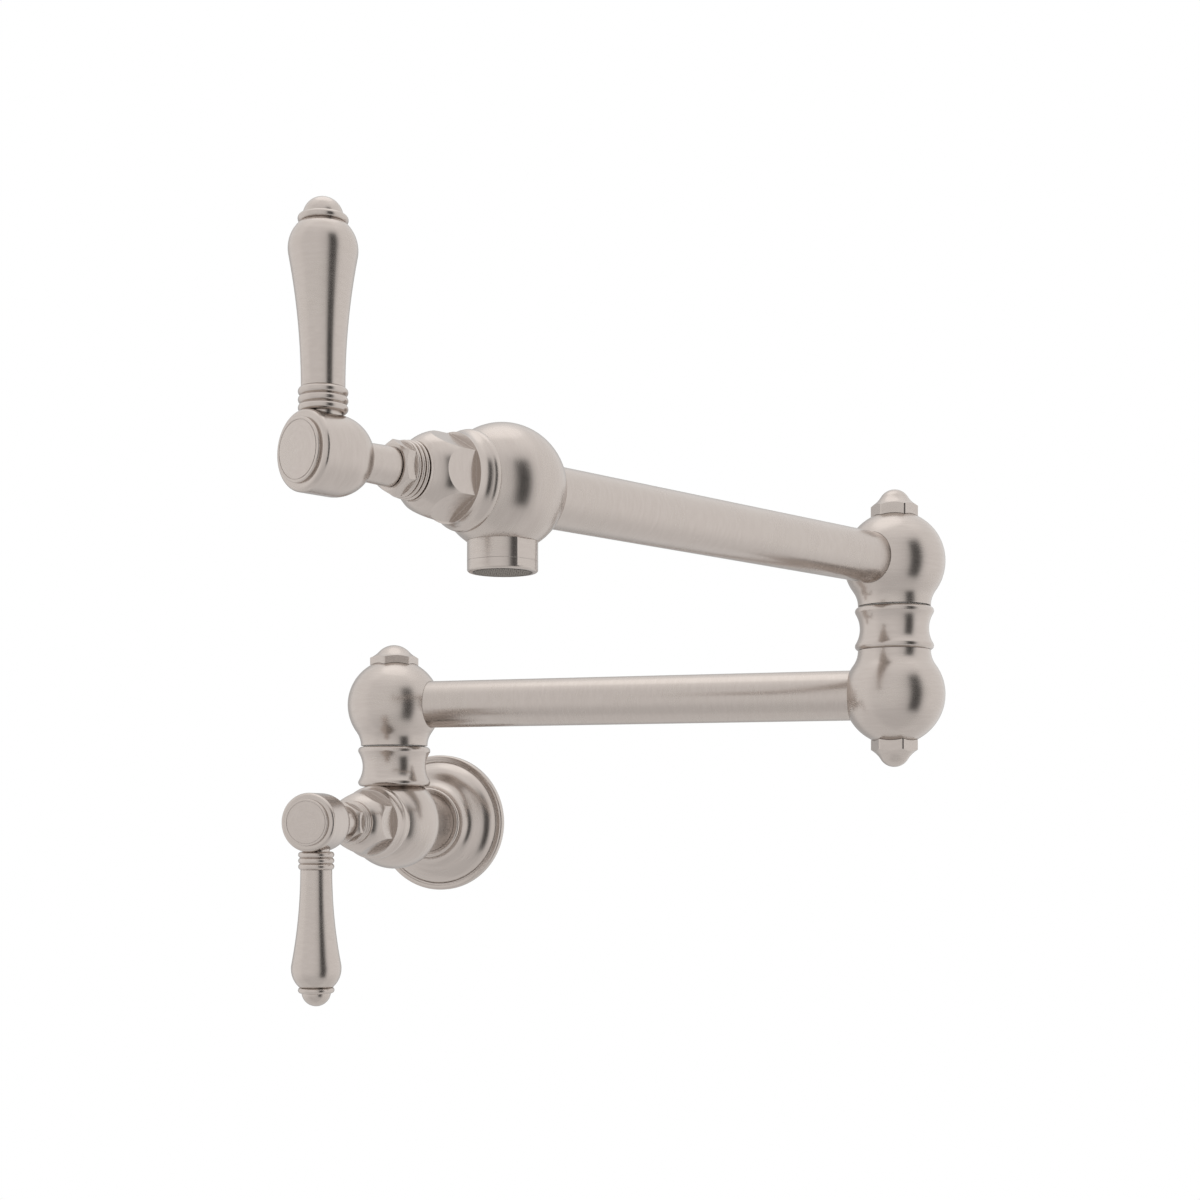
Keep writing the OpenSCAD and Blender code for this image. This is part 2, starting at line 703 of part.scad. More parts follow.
// Lower arm: a ball on the wall valve's swivel, a tube and a ball that carries the elbow
module lower_inner_ball() color(nickel) at_column() swivel_ball(post_r + running_play);
module column_cap_nut() color(nickel) at_column() rotate([0, 0, column_nut_turn])
    cap_nut(column_nut_af, ball_r + column_nut_h, ball_r + column_nut_top, column_nut_dome);
module lower_arm_tube() color(nickel) at_column() arm_tube();
module lower_outer_ball() color(nickel) at_elbow() rotate([180, 0, 180])
    swivel_ball(post_r + fit);
module elbow_cap_nut() color(nickel) at_elbow() rotate([180, 0, elbow_nut_turn])
    cap_nut(elbow_nut_af, ball_r + elbow_nut_h, ball_r + elbow_nut_top, elbow_nut_dome);

// Parts of the elbow's swivel
module elbow_spool() color(nickel) at_elbow() translate([0, 0, neck_len]) spool();
module elbow_swivel_post() color(brass) at_elbow() translate([0, 0, neck_len])
    swivel_post(elbow_thread_len);
module elbow_post_seals() color(rubber) at_elbow() translate([0, 0, neck_len]) post_seals();
module elbow_thrust_washer() color(ptfe) at_elbow() translate([0, 0, neck_len])
    thrust_washer();
module elbow_swivel_clip() color(steel) at_elbow() translate([0, 0, neck_len]) swivel_clip();

// Upper arm: a ball on the elbow's swivel, a tube and the ball that holds the spout's valve
module knuckle_ball() color(nickel) at_knuckle() swivel_ball(post_r + running_play);
module knuckle_cap_nut() color(nickel) at_knuckle() rotate([0, 0, knuckle_nut_turn - heading])
    cap_nut(elbow_nut_af, ball_r + elbow_nut_h, ball_r + elbow_nut_top, elbow_nut_dome);
module upper_arm_tube() color(nickel) at_knuckle() arm_tube();

// Ball over the nozzle, with the tube's socket behind and the bonnet's boss in front
module spout_body() color(nickel) difference() {
    spout_axis() rotate_extrude() valve_outline(bonnet_seat);
    spout_axis() valve_cavity(0, spout_chamber_back);
    at_spout() rotate([0, -90, 0]) translate([0, 0, tube_end - play])
        cylinder(h = ball_d, r = tube_r + fit);
    at_spout() rotate([0, -90, 0]) cylinder(h = ball_d, d = seat_port_d);
    at_spout() rotate([180, 0, 0]) cylinder(h = ball_d, r = nozzle_tail_d / 2 + fit);
    at_spout() rotate([180, 0, 0]) translate([0, 0, nozzle_seat()])
        cylinder(h = ball_d, r = ball_d);
}

// Depth of the flat under the ball, just wide enough for the nozzle's shoulder
function nozzle_seat() = sqrt(pow(ball_r, 2) - pow(nozzle_r + play, 2));

// Round blank below the ball with two wrench flats down to the depth called flats_end
module flatted(from, to, flats_end) {
    intersection() {
        translate([0, 0, -to]) cylinder(h = to - from, r = nozzle_r);
        union() {
            translate([-nozzle_d, -nozzle_af / 2, -flats_end]) cube([2 * nozzle_d, nozzle_af, to]);
            translate([0, 0, -to - over]) cylinder(h = to - flats_end + over, r = nozzle_d);
        }
    }
}

// Nozzle screwed up into the ball, with a spigot for the aerator housing
module spout_nozzle() color(nickel) at_spout() difference() {
    union() {
        flatted(nozzle_seat(), joint_at, joint_at + over);
        translate([0, 0, -joint_at - spigot_len + play]) cylinder(h = spigot_len, r = spigot_r);
        translate([0, 0, -nozzle_seat() - over])
            cylinder(h = nozzle_seat() - nozzle_tail_top + over, d = nozzle_tail_d);
    }
    translate([0, 0, -mouth_at]) cylinder(h = mouth_at, d = nozzle_bore_d);
    translate([0, 0, -mouth_at]) cylinder(h = mouth_at - shoulder_at, d = mouth_d);
}

// Aerator housing with a rounded lip under its wrench flats
module aerator_housing() color(nickel) at_spout() difference() {
    flats_end = mouth_at - nozzle_lip;
    intersection() {
        flatted(joint_at + fit, mouth_at, flats_end);
        rotate_extrude() {
            translate([0, -mouth_at]) square([nozzle_r - nozzle_lip, nozzle_lip + over]);
            translate([0, -flats_end]) square([nozzle_r + over, mouth_at]);
            translate([nozzle_r - nozzle_lip + fit, -flats_end]) circle(nozzle_lip);
        }
    }
    translate([0, 0, -joint_at - spigot_len]) cylinder(h = joint_at, r = spigot_r + fit);
    translate([0, 0, -mouth_at - over]) cylinder(h = mouth_at, d = mouth_d);
}

// Aerator insert: a plug pierced by rings of fine water channels
module aerator_insert() color(plastic) at_spout() translate([0, 0, -insert_bottom])
    difference() {
        cylinder(h = insert_h, r = mouth_d / 2 - play);
        for (q = [-channel_rings : channel_rings], r = [-channel_rings : channel_rings])
            if (abs(q + r) <= channel_rings)
                translate([channel_pitch * (q + r / 2), channel_pitch * r * cos(30), -over])
                    cylinder(h = insert_h + 2 * over, d = channel_d);
    }

// Rubber ring between the nozzle's shoulder and the insert
module aerator_gasket() color(rubber) at_spout()
    translate([0, 0, -shoulder_at - gasket_t - fit]) difference() {
        cylinder(h = gasket_t, r = mouth_d / 2 - play);
        translate([0, 0, -over]) cylinder(h = gasket_t + 2 * over, d = nozzle_bore_d);
    }

// Valve bonnet: a collar with a sharp rim, six flats that run out into a dome, a front lip, the
// packing nut's neck and a threaded skirt
module bonnet() {
    flats_at = bonnet_seat + bonnet_collar_len;
    dome_at = bonnet_seat + bonnet_dome_at;
    lip_r = bonnet_lip_d / 2;
    difference() {
        union() {
            rotate_extrude() bonnet_collar_outline(bonnet_seat, flats_at);
            intersection() {
                translate([0, 0, flats_at]) rotate([0, 0, 30])
                    cylinder(h = bonnet_len, r = bonnet_af / 2 * corner_share, $fn = 6);
                rotate_extrude() {
                    translate([0, flats_at]) square([bonnet_dome_r, dome_at - flats_at]);
                    intersection() {
                        translate([0, dome_at]) circle(bonnet_dome_r);
                        translate([0, dome_at]) square([bonnet_dome_r, bonnet_face - dome_at]);
                    }
                    translate([0, dome_at]) square([lip_r, bonnet_face - dome_at]);
                }
            }
            translate([0, 0, bonnet_seat - bonnet_skirt_len])
                cylinder(h = bonnet_skirt_len + over, r = skirt_r);
            translate([0, 0, bonnet_face - over])
                cylinder(h = bonnet_neck_len + over, d = bonnet_neck_d);
        }
        translate([0, 0, -over]) cylinder(h = cartridge_end + over + play, r = cartridge_d / 2 + play);
        cylinder(h = neck_top + over, r = stem_clear_r);
    }
}

// Half outline of the bonnet's collar between two heights: a thin rim, a swelling and a hollow
module bonnet_collar_outline(z0, z1) {
    collar_r = bonnet_collar_d / 2;
    swell_at = [rim_r - bonnet_collar_sweep, z0 + bonnet_rim_t];
    hollow_r = collar_r + bonnet_collar_cove;
    span = bonnet_collar_sweep + bonnet_collar_cove - blend_overlap;
    hollow_at = [hollow_r, swell_at[1] + sqrt(pow(span, 2) - pow(hollow_r - swell_at[0], 2))];
    edge_at = [rim_r + fit - bonnet_rim_r, z0 + bonnet_rim_r - fit];
    difference() {
        intersection() {
            translate([0, z0]) square([rim_r, z1 - z0]);
            union() {
                translate([0, z0]) square([rim_r, bonnet_rim_t]);
                translate(swell_at + [blend_overlap, 0]) circle(bonnet_collar_sweep);
                difference() {
                    polygon([[0, z0], swell_at, hollow_at, [0, hollow_at[1]]]);
                    translate(hollow_at) circle(bonnet_collar_cove);
                }
                translate([0, z0]) square([collar_r + blend_overlap, z1 - z0]);
            }
        }
        difference() {
            translate([edge_at[0], z0 - over]) square([over, edge_at[1] - z0 + over]);
            translate(edge_at) circle(bonnet_rim_r);
        }
    }
}

// Packing nut: turned beads against the bonnet, six flats and a coned front
module packing_nut() {
    bead_at = bonnet_face + play;
    base_len = packing_hex_at - bead_at;
    core_r = packing_bead_d / 2 - packing_bead_r - (packing_beads - 1) * packing_bead_step / 2;
    difference() {
        union() {
            rotate_extrude() {
                translate([0, bead_at]) square([core_r, base_len]);
                for (i = [0 : packing_beads - 1])
                    translate([packing_bead_d / 2 - packing_bead_r - i * packing_bead_step / 2,
                        bead_at + (i + 1 / 2) * base_len / packing_beads])
                        circle(packing_bead_r);
            }
            intersection() {
                translate([0, 0, packing_hex_at]) rotate([0, 0, 30])
                    cylinder(h = packing_front - packing_hex_at,
                        r = packing_af / 2 * corner_share, $fn = 6);
                rotate_extrude() polygon([
                    [0, packing_hex_at], [packing_af / 2 * corner_share, packing_hex_at],
                    [packing_af / 2 * corner_share, packing_front - 2 * packing_cone_len],
                    [packing_cone_d / 2, packing_front], [0, packing_front]
                ]);
            }
        }
        cylinder(h = packing_front - packing_wall_t, r = bonnet_neck_d / 2 + fit);
        cylinder(h = packing_front + over, r = spindle_d / 2 + running_play);
    }
}

// Soft packing squeezed round the spindle under the packing nut
module packing_ring() {
    foot = neck_top + fit;
    height = packing_front - packing_wall_t - foot - fit;
    translate([0, 0, foot]) difference() {
        cylinder(h = height, r = bonnet_neck_d / 2);
        translate([0, 0, -over]) cylinder(h = height + 2 * over, r = spindle_d / 2 + running_play);
    }
}

// Brass shell of the ceramic cartridge, with two side windows for the water
module cartridge_body() {
    disc_room = spindle_foot + window_h + over;
    difference() {
        translate([0, 0, cartridge_foot])
            cylinder(h = cartridge_end - cartridge_foot, d = cartridge_d);
        translate([0, 0, cartridge_foot - over])
            cylinder(h = disc_room - cartridge_foot, r = disc_d / 2 + running_play);
        cylinder(h = cartridge_end + over, r = spindle_d / 2 + running_play);
        translate([-cartridge_d, -window_w / 2, spindle_foot])
            cube([2 * cartridge_d, window_w, window_h]);
    }
}

// Ceramic disc with two openings either side of its hub
module ceramic_disc() {
    linear_extrude(disc_t) difference() {
        circle(disc_d / 2);
        for (side = [0, 180]) rotate(side) intersection() {
            difference() {
                circle(disc_port_r);
                circle(disc_hub_r);
            }
            polygon([[0, 0], [disc_d, -disc_d * tan(disc_port_angle / 2)],
                [disc_d, disc_d * tan(disc_port_angle / 2)]]);
        }
    }
}

// The fixed disc opens to the sides and the moving disc, at rest, up and down: the valve is
// closed until a quarter turn brings the openings together
module fixed_disc() translate([0, 0, fixed_disc_at]) ceramic_disc();
module moving_disc() difference() {
    translate([0, 0, moving_disc_at]) rotate([0, 0, 90]) ceramic_disc();
    translate([-disc_d, -tang_t / 2 - fit, moving_disc_at + disc_t - tang_depth - fit])
        cube([2 * disc_d, tang_t + 2 * fit, disc_t]);
}

// Rubber ring that presses the fixed disc against the valve's seat
module seat_seal() {
    translate([0, 0, seat_at + fit / 2]) difference() {
        cylinder(h = seal_t, r = disc_d / 2);
        translate([0, 0, -over]) cylinder(h = seal_t + 2 * over, d = seat_port_d);
    }
}

// Spindle: a tang in the moving disc, a round shaft and a square end in the handle's hub
module spindle() {
    square_at = sleeve_front + over;
    difference() {
        union() {
            intersection() {
                translate([0, 0, spindle_foot - tang_depth])
                    cylinder(h = tang_depth + over, r = spindle_d / 2);
                translate([-disc_d, -tang_t / 2, spindle_foot - tang_depth])
                    cube([2 * disc_d, tang_t, tang_depth + over]);
            }
            translate([0, 0, spindle_foot]) cylinder(h = square_at - spindle_foot, d = spindle_d);
            translate([-spindle_square / 2, -spindle_square / 2, square_at - over])
                cube([spindle_square, spindle_square, spindle_end - square_at + over]);
        }
        translate([0, 0, spindle_end - screw_len]) cylinder(h = screw_len + over, r = screw_d / 2 + fit);
    }
}

// Sleeve that covers the spindle between the packing nut and the hub
module stem_sleeve() {
    rotate_extrude() polygon([
        [spindle_d / 2 + play, sleeve_back], [sleeve_d / 2, sleeve_back],
        [sleeve_small_d / 2, hub_mouth_s - over], [sleeve_small_d / 2, sleeve_front],
        [spindle_d / 2 + play, sleeve_front]
    ]);
}

// Handle hub: a barrel with a round back end and an eased front edge, bored for the sleeve,
// the spindle's square, the lever's rod and the screw under the cap
module handle_hub() {
    difference() {
        rotate_extrude() {
            intersection() {
                translate([0, dome_s]) circle(hub_r);
                translate([0, dome_s - hub_r]) square([hub_r, hub_r]);
            }
            translate([0, dome_s]) square([hub_r, front_s - hub_edge_r - dome_s]);
            translate([0, dome_s]) square([hub_r - hub_edge_r, front_s - dome_s]);
            translate([hub_r - hub_edge_r, front_s - hub_edge_r]) circle(hub_edge_r);
        }
        translate([0, 0, dome_s - hub_r - over])
            cylinder(h = sleeve_front + fit - dome_s + hub_r + over, r = sleeve_small_d / 2 + fit);
        translate([0, 0, sleeve_front]) cylinder(h = 2 * over, r = spindle_d / 2 + play);
        translate([-spindle_square / 2 - fit, -spindle_square / 2 - fit, dome_s - hub_r])
            cube([spindle_square + 2 * fit, spindle_square + 2 * fit, 2 * hub_r]);
        translate([0, 0, chamber_s]) cylinder(h = hub_d, d = hub_chamber_d);
    }
}

// Screw that holds the hub on the spindle, with a cross-slotted head
module handle_screw() {
    head_at = chamber_s + play / 2;
    slot_w = 1;
    difference() {
        union() {
            translate([0, 0, spindle_end - screw_len + play])
                cylinder(h = head_at - spindle_end + screw_len, d = screw_d);
            translate([0, 0, head_at]) cylinder(h = screw_head_h, d = screw_head_d);
        }
        translate([0, 0, head_at + screw_head_h]) for (turn = [0, 90]) rotate([0, 0, turn])
            cube([screw_head_d - 2 * slot_w, slot_w, screw_head_h], center = true);
    }
}

// Cap over the screw: a plug in the hub, a rim with a rounded edge, a fine ring and a
// gently crowned face
module hub_cap() {
    cap_r = cap_d / 2;
    ring_r = cap_ring_d / 2;
    crown_sweep = (ring_r * ring_r + cap_crown * cap_crown) / (2 * cap_crown);
    rim_top = front_s + cap_rim_t;
    rotate_extrude() difference() {
        union() {
            translate([0, front_s - cap_plug_depth])
                square([hub_chamber_d / 2 - fit, cap_plug_depth + over]);
            translate([0, front_s + fit]) square([cap_r, cap_rim_t - fit - cap_edge_r]);
            translate([0, front_s + fit]) square([cap_r - cap_edge_r, cap_rim_t - fit]);
            translate([cap_r - cap_edge_r, rim_top - cap_edge_r]) circle(cap_edge_r);
            intersection() {
                translate([0, rim_top]) square([ring_r, cap_crown]);
                translate([0, rim_top + cap_crown - crown_sweep]) circle(crown_sweep, $fn = 720);
            }
        }
        translate([ring_r - ring_groove, rim_top - ring_groove])
            square([ring_groove, ring_groove + over]);
    }
}

// Threaded rod from the hub through the ferrule and the grip into the finial
module lever_rod() translate([0, 0, rod_root]) cylinder(h = rod_end - rod_root, d = rod_d);

// Ferrule: a neck that saddles the hub's barrel and a row of beads
module lever_ferrule() {
    difference() {
        rotate_extrude() difference() {
            union() {
                translate([0, hub_r - 3 * over]) square([ferrule_neck_d / 2, 4 * over]);
                translate([0, ferrule_first - ferrule_bead_r])
                    square([ferrule_d / 2 - ferrule_bead_r, ferrule_end - ferrule_first + ferrule_bead_r]);
                for (i = [0 : ferrule_beads - 1])
                    translate([ferrule_d / 2 - ferrule_bead_r, ferrule_first + i * ferrule_pitch])
                        circle(ferrule_bead_r);
            }
            translate([0, ferrule_end]) square([ferrule_d, ferrule_d]);
            square([rod_d / 2 + fit, ferrule_end + over]);
        }
        rotate([90, 0, 0]) cylinder(h = ferrule_d * 2, r = hub_r + fit, center = true);
    }
}

// Grip: a long hollow sweep that swells into a rounded bulb
module lever_grip() {
    foot = ferrule_end + fit;
    rotate_extrude() difference() {
        union() {
            difference() {
                polygon([[0, foot], [sweep_centre_r, foot], [0, bulb_at]]);
                translate([sweep_centre_r, ferrule_end]) circle(grip_sweep, $fn = 720);
            }
            intersection() {
                translate([0, bulb_at]) circle(bulb_r);
                square([bulb_r, grip_end]);
            }
        }
        square([rod_d / 2 + fit, grip_end + over]);
    }
}

// Finial: a ring and a dome that cap the grip
module lever_finial() {
    foot = grip_end + fit;
    rotate_extrude() difference() {
        intersection() {
            translate([0, foot]) square([finial_ring_d, finial_ring_d]);
            union() {
                translate([0, foot]) square([finial_ring_d / 2 - finial_bead_r, 2 * finial_bead_r - fit]);
                translate([finial_ring_d / 2 - finial_bead_r, finial_ring_at]) circle(finial_bead_r);
                translate([0, finial_dome_at]) circle(finial_dome_r);
            }
        }
        square([rod_d / 2 + fit, rod_end + fit]);
    }
}

// The barrel of each hub is drilled for its lever's rod
module rod_hole() translate([0, 0, rod_root - fit]) cylinder(h = hub_r, r = rod_d / 2 + fit);

// Wall valve
module wall_bonnet() color(nickel) wall_axis() bonnet();
module wall_packing_nut() color(nickel) wall_axis() packing_nut();
module wall_packing_ring() color(ptfe) wall_axis() packing_ring();
module wall_cartridge_body() color(brass) wall_axis() cartridge_body();
module wall_fixed_disc() color(ceramic) wall_axis() fixed_disc();
module wall_seat_seal() color(rubber) wall_axis() seat_seal();
module wall_spindle() color(brass) wall_axis() spindle();
module wall_moving_disc() color(ceramic) wall_axis() moving_disc();
module wall_stem_sleeve() color(nickel) wall_axis() stem_sleeve();
module wall_handle_hub() color(nickel) difference() {
    wall_axis() handle_hub();
    wall_lever_frame() rod_hole();
}
module wall_hub_cap() color(nickel) wall_axis() hub_cap();
module wall_handle_screw() color(steel) wall_axis() handle_screw();
module wall_lever_rod() color(brass) wall_lever_frame() lever_rod();
module wall_lever_ferrule() color(nickel) wall_lever_frame() lever_ferrule();
module wall_lever_grip() color(nickel) wall_lever_frame() lever_grip();
module wall_lever_finial() color(nickel) wall_lever_frame() lever_finial();

// Spout valve
module spout_bonnet() color(nickel) spout_axis() bonnet();
module spout_packing_nut() color(nickel) spout_axis() packing_nut();
module spout_packing_ring() color(ptfe) spout_axis() packing_ring();
module spout_cartridge_body() color(brass) spout_axis() cartridge_body();
module spout_fixed_disc() color(ceramic) spout_axis() fixed_disc();
module spout_seat_seal() color(rubber) spout_axis() seat_seal();
module spout_spindle() color(brass) spout_axis() spindle();
module spout_moving_disc() color(ceramic) spout_axis() moving_disc();
module spout_stem_sleeve() color(nickel) spout_axis() stem_sleeve();
module spout_handle_hub() color(nickel) difference() {
    spout_axis() handle_hub();
    spout_lever_frame() rod_hole();
}
module spout_hub_cap() color(nickel) spout_axis() hub_cap();
module spout_handle_screw() color(steel) spout_axis() handle_screw();
module spout_lever_rod() color(brass) spout_lever_frame() lever_rod();
module spout_lever_ferrule() color(nickel) spout_lever_frame() lever_ferrule();
module spout_lever_grip() color(nickel) spout_lever_frame() lever_grip();
module spout_lever_finial() color(nickel) spout_lever_frame() lever_finial();

wall_flange();
inlet_shank();
wall_valve_body();
wall_spool();
wall_swivel_post();
wall_post_seals();
wall_thrust_washer();
wall_swivel_clip();
wall_bonnet();
wall_packing_nut();
wall_packing_ring();
wall_cartridge_body();
wall_fixed_disc();
wall_seat_seal();
wall_spindle();
wall_moving_disc();
wall_stem_sleeve();
wall_handle_hub();
wall_hub_cap();
wall_handle_screw();
wall_lever_rod();
wall_lever_ferrule();
wall_lever_grip();
wall_lever_finial();
lower_inner_ball();
column_cap_nut();
lower_arm_tube();
lower_outer_ball();
elbow_cap_nut();
elbow_spool();
elbow_swivel_post();
elbow_post_seals();
elbow_thrust_washer();
elbow_swivel_clip();
knuckle_ball();
knuckle_cap_nut();
upper_arm_tube();
spout_body();
spout_nozzle();
aerator_housing();
aerator_insert();
aerator_gasket();
spout_bonnet();
spout_packing_nut();
spout_packing_ring();
spout_cartridge_body();
spout_fixed_disc();
spout_seat_seal();
spout_spindle();
spout_moving_disc();
spout_stem_sleeve();
spout_handle_hub();
spout_hub_cap();
spout_handle_screw();
spout_lever_rod();
spout_lever_ferrule();
spout_lever_grip();
spout_lever_finial();
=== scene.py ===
"""Looks of the wall-mounted pot filler: finishes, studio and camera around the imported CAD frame."""

import json
import math

import bmesh
import bpy
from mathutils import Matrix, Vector


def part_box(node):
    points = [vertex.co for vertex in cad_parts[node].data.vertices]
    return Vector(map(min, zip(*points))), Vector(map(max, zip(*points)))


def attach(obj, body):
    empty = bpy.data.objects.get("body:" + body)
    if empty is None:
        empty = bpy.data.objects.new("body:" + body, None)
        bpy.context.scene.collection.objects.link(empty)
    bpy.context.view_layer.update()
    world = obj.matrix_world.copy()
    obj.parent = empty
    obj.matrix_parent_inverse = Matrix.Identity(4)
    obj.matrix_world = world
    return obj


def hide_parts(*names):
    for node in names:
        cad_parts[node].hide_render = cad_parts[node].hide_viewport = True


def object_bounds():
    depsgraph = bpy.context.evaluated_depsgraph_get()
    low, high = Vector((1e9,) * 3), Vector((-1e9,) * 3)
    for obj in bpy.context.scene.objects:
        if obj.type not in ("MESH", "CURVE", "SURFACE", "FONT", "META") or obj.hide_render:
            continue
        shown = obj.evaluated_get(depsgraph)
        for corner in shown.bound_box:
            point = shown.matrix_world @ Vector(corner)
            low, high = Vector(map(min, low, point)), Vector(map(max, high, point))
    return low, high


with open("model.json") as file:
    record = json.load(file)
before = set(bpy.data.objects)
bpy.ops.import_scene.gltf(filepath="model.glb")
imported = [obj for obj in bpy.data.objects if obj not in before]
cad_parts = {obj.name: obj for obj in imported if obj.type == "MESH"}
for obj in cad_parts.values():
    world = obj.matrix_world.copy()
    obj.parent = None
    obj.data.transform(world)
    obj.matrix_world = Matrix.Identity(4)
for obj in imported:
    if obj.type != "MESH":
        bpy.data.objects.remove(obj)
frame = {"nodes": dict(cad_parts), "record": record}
cad_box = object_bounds()
nodes = frame["nodes"]


def middle(name):
    """Middle of a node's box at rest."""
    low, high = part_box(name)
    return (Vector(low) + Vector(high)) / 2


# Axes that the pieces were turned on, taken from the frame. The wall valve's axis runs through
# the origin.
ORIGIN = Vector((0.0, 0.0, 0.0))
UPRIGHT = Vector((0.0, 0.0, 1.0))
OUT_OF_WALL = Vector((0.0, -1.0, 0.0))
LOWER_ARM = Vector((1.0, 0.0, 0.0))
UPPER_ARM = (middle("aerator_housing") - middle("elbow_spool")).to_2d().normalized().to_3d()
QUARTER = math.pi / 2

# Camera, fitted to the photograph. Its lens and sensor are in millimetres.
CAMERA_AT = Vector((0.397, -0.9635, 0.0))
CAMERA_TURN = math.radians(17.35)
CAMERA_LENS = 53.97
CAMERA_SENSOR = 36.0
CAMERA_SHIFT_Y = 0.1854

# Satin nickel, linear colour: the plating, its darker grain and the painted highlight on its edges
NICKEL = (0.560, 0.503, 0.464)
NICKEL_GRAIN = (0.525, 0.468, 0.430)
# Lighter colour laid on edges: a painted highlight
NICKEL_HIGHLIGHT = (0.620, 0.565, 0.525)

# Its roughness, how far the slow clouds and the fine grain change it, and the clouds per metre
NICKEL_ROUGHNESS = 0.25
CLOUD_ROUGHNESS = 0.03
GRAIN_ROUGHNESS = 0.02
CLOUDS = 55.0
CLOUD_DETAIL = 3.0

# Its edges: the radius that eases them, the cosines between the eased and the true normal
# where the painted edge highlight starts and is full, and the share of its lighter colour there
EDGE_RADIUS = 0.00018
EDGE_SAMPLES = 6
HIGHLIGHT_STARTS = 0.995
HIGHLIGHT_FULL = 0.90
HIGHLIGHT_SHARE = 0.5

# Grain of the turned pieces: ridges per metre across the grain, and how often a ridge changes
# on its way round
FINE_RIDGES = 3300.0
FINE_TURNS = 5.0
FINE_DETAIL = 2.0
BROAD_RIDGES = 850.0
BROAD_TURNS = 2.5
BROAD_DETAIL = 3.0
BROAD_SHARE = 0.6
GRAIN_BUMP = 0.03
GRAIN_DEPTH = 0.0001

# The part of a noise's range that is spread over all that it drives
NOISE_RANGE = (0.3, 0.7)
BROAD_RANGE = (0.35, 0.65)

# Mottle of the plain materials
MOTTLE_GRAINS = 900.0
MOTTLE_DETAIL = 2.0
MOTTLE_CONTRAST = 0.12
MOTTLE_ROUGHNESS = 0.05
MOTTLE_BUMP = 0.2
MOTTLE_DEPTH = 0.00002

# Angle, in radians, over which two smooth faces keep a sharp edge
CREASE = 0.5

# Aerator screen: radius and pitch of its wires, their steps in a pitch and their sides, how far
# their middle plane lies under the insert, and the ring's width and steps
WIRE = 0.00017
WIRE_PITCH = 0.00115
WIRE_STEPS = 4
WIRE_SIDES = 6
SCREEN_DROP = 2.2 * WIRE
RING_WIDTH = 0.0007
RING_STEPS = 96

# Inlet shank: half-inch pipe thread, the sizes that the shank's box doesn't give, and the
# distance under which its points are merged
THREAD_PITCH = 0.001814
THREAD_CUT = 0.00116
SHANK_BORE_R = 0.0065
SHANK_TAIL_R = 0.012
SHANK_TAIL_LEN = 0.007
SHANK_STEPS = 96
MERGED = 1e-7

# Light of the studio: its level underfoot and at eye level, and what the ceiling and the sides
# add, each with the angles between which it changes. Heights and bearings here and below are in
# degrees, a bearing counted from the camera's side of the tap to the camera's right.
UNDERFOOT_LEVEL = 0.75
EYE_LEVEL = 0.91
UNDERFOOT_HEIGHTS = (-48, -8)
CEILING_GAIN = 0.14
CEILING_HEIGHTS = (42, 66)
SIDES_GAIN = 0.10
SIDES_BEARINGS = (56, 78)

# Dark upright panel to the right of the camera, in a softer dark surround: where each starts,
# is full, is full still and ends, and the share of the light that it takes
PANEL_BEARINGS = (20, 33, 49, 62)
PANEL_HEIGHTS = (-44, -30, 32, 46)
PANEL_DEPTH = 0.92
SURROUND_BEARINGS = (-12, 30, 50, 66)
SURROUND_HEIGHTS = (-52, -26, 30, 52)
SURROUND_DEPTH = 0.14

# Far side, behind the tap and a little to the camera's left: the cosines of the angles from its
# middle where it starts and is full, and the share of the light that it leaves
FAR_TURN = math.radians(11)
FAR_SIDE = (-math.cos(FAR_TURN), -math.sin(FAR_TURN), 0.0)
FAR_STARTS = 0.66
FAR_FULL = 0.96
FAR_SHARE = 0.56

# Soft box and floor
SOFT_BOX_SIZE = 1.1
SOFT_BOX_ENERGY = 0.9
SOFT_BOX_OFFSET = Vector((-0.15, 0.25, 1.5))
FLOOR_SIZE = 8.0
FLOOR_HEIGHT = -1.3
FLOOR_GLOW = 0.85


# Shader helpers

def new_tree(owner):
    """Empty node tree of a material or world."""
    owner.use_nodes = True
    owner.node_tree.nodes.clear()
    return owner.node_tree


def feed(tree, socket, value):
    """Sets an input, or links it where the value is another node's output."""
    if isinstance(value, bpy.types.NodeSocket):
        tree.links.new(value, socket)
    else:
        socket.default_value = value


def calc(tree, operation, *values):
    """One math node."""
    node = tree.nodes.new("ShaderNodeMath")
    node.operation = operation
    for socket, value in zip(node.inputs, values):
        feed(tree, socket, value)
    return node.outputs[0]


def vector(tree, operation, *values):
    """One vector math node. Dot products and lengths come back as numbers."""
    node = tree.nodes.new("ShaderNodeVectorMath")
    node.operation = operation
    if operation == "SCALE":
        feed(tree, node.inputs[0], values[0])
        feed(tree, node.inputs["Scale"], values[1])
    else:
        for socket, value in zip(node.inputs, values):
            feed(tree, socket, value)
    return node.outputs["Value" if operation in ("DOT_PRODUCT", "LENGTH") else "Vector"]


def remap(tree, value, low, high, to_low=0.0, to_high=1.0, smooth=False):
    """Maps low..high to to_low..to_high and holds the ends."""
    node = tree.nodes.new("ShaderNodeMapRange")
    if smooth:
        node.interpolation_type = "SMOOTHSTEP"
    feed(tree, node.inputs["Value"], value)
    node.inputs["From Min"].default_value = low
    node.inputs["From Max"].default_value = high
    node.inputs["To Min"].default_value = to_low
    node.inputs["To Max"].default_value = to_high
    return node.outputs["Result"]


def blend(tree, factor, a, b):
    """Mixes two colours."""
    node = tree.nodes.new("ShaderNodeMix")
    node.data_type = "RGBA"
    feed(tree, node.inputs["Factor"], factor)
    for socket, colour in ((node.inputs["A"], a), (node.inputs["B"], b)):
        feed(tree, socket, colour if isinstance(colour, bpy.types.NodeSocket) else (*colour, 1.0))
    return node.outputs["Result"]


